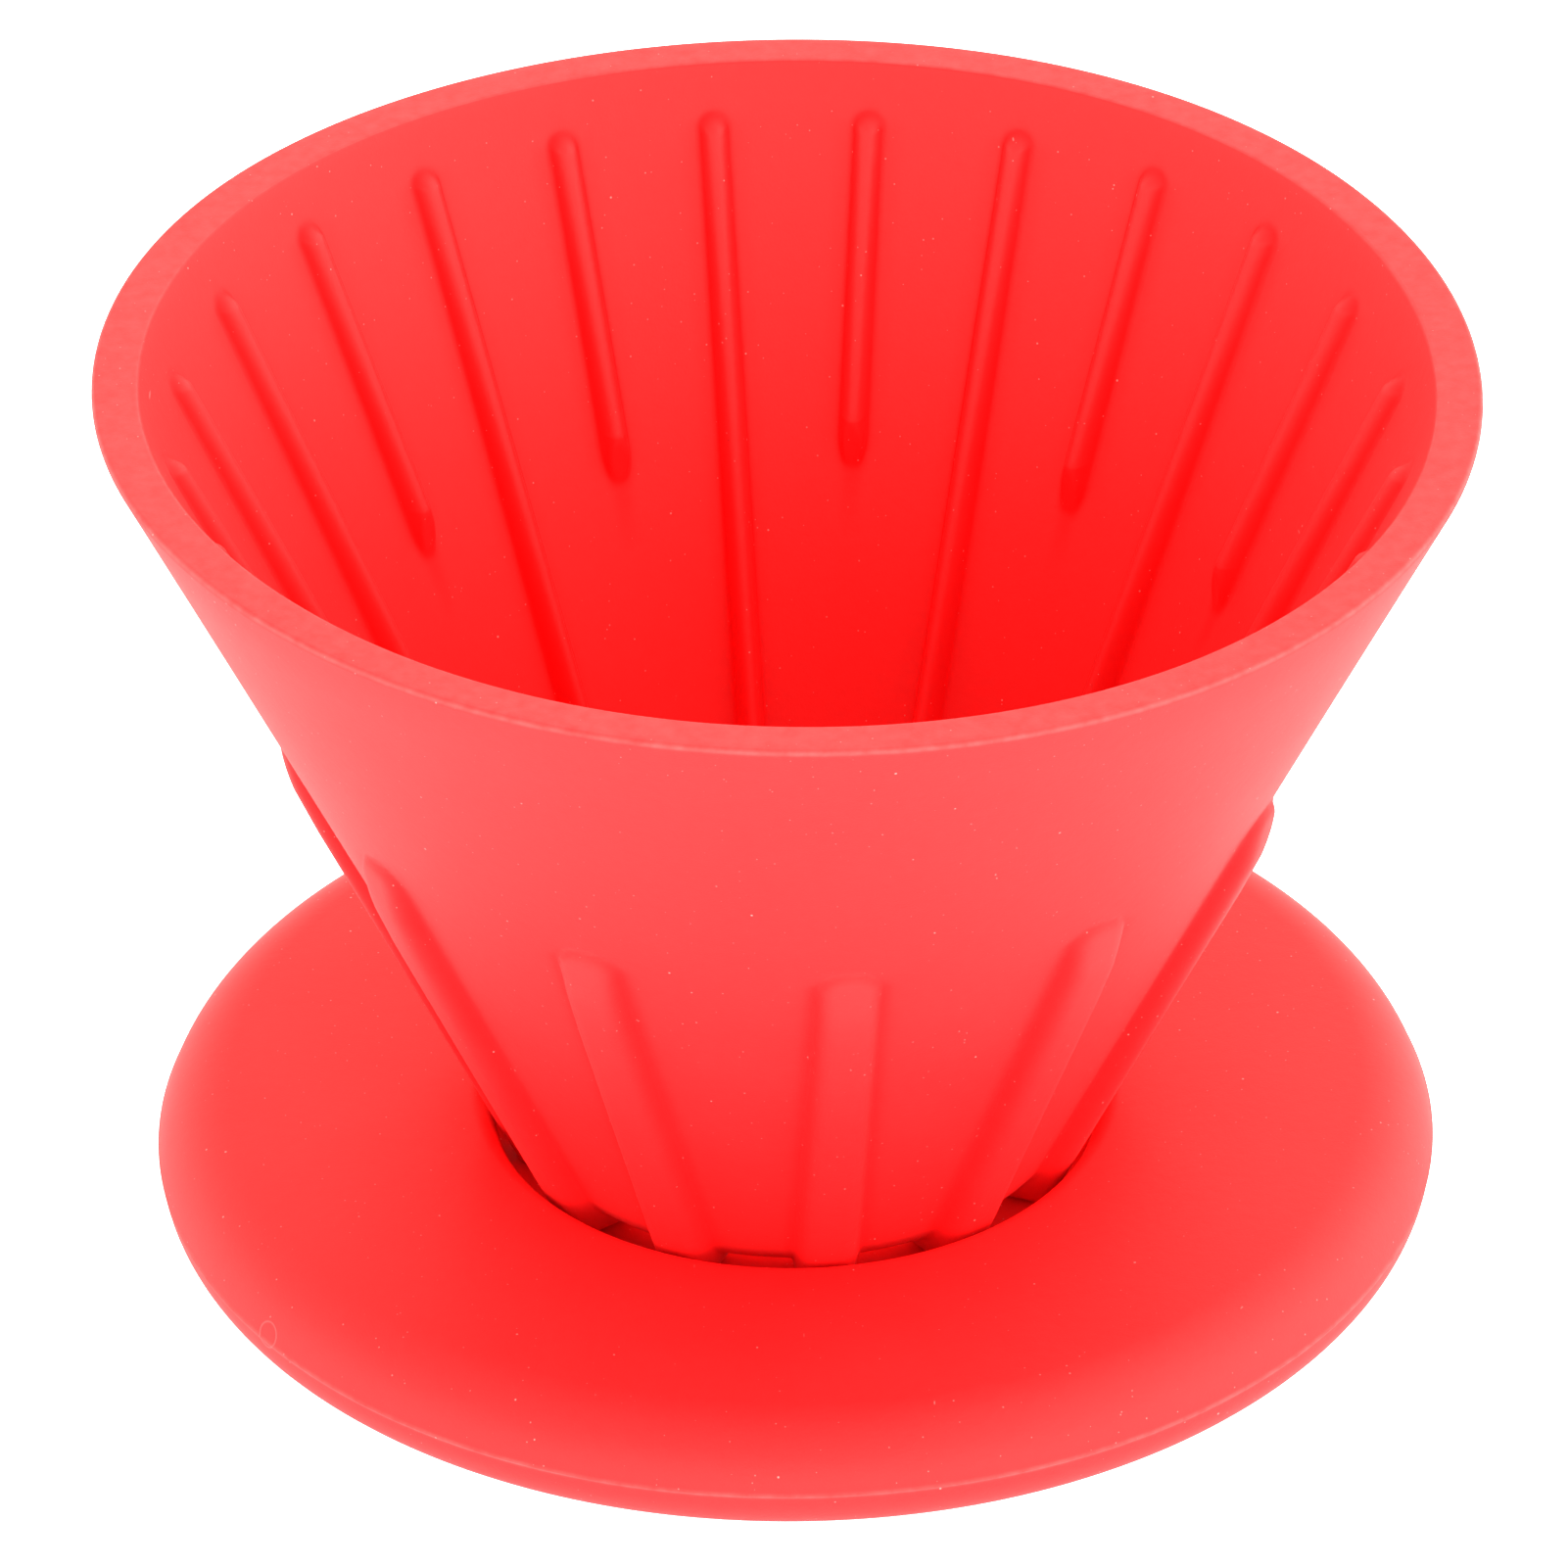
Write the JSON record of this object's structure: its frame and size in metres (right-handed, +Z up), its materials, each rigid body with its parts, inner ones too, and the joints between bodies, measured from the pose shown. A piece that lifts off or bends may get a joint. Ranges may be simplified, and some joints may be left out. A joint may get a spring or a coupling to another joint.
{
  "type": "pour over dripper",
  "caption": "Silicone pour-over coffee dripper: an open ribbed cone cup with outer air-gap fins, standing in a domed ring base.",
  "frame": {"origin": "centre of the base ring's underside, on the axis, at the height of the surface it rests on", "axes": "+Z up along the axis of the cup and the ring; -Y is the side that faces the viewer"},
  "size_m": [0.1154, 0.1154, 0.0804],
  "materials": {
    "silicone_cup": "matte",
    "silicone_base": "matte"
  },
  "bodies": {
    "base": {"base_ring": "silicone_base"},
    "cup": {"filter_cup": "silicone_cup"}
  },
  "joints": [
    {"name": "cup_lift", "type": "slide", "parent": "base", "child": "cup", "axis": [0, 0, 1], "range_m": [0, 0.1]}
  ]
}
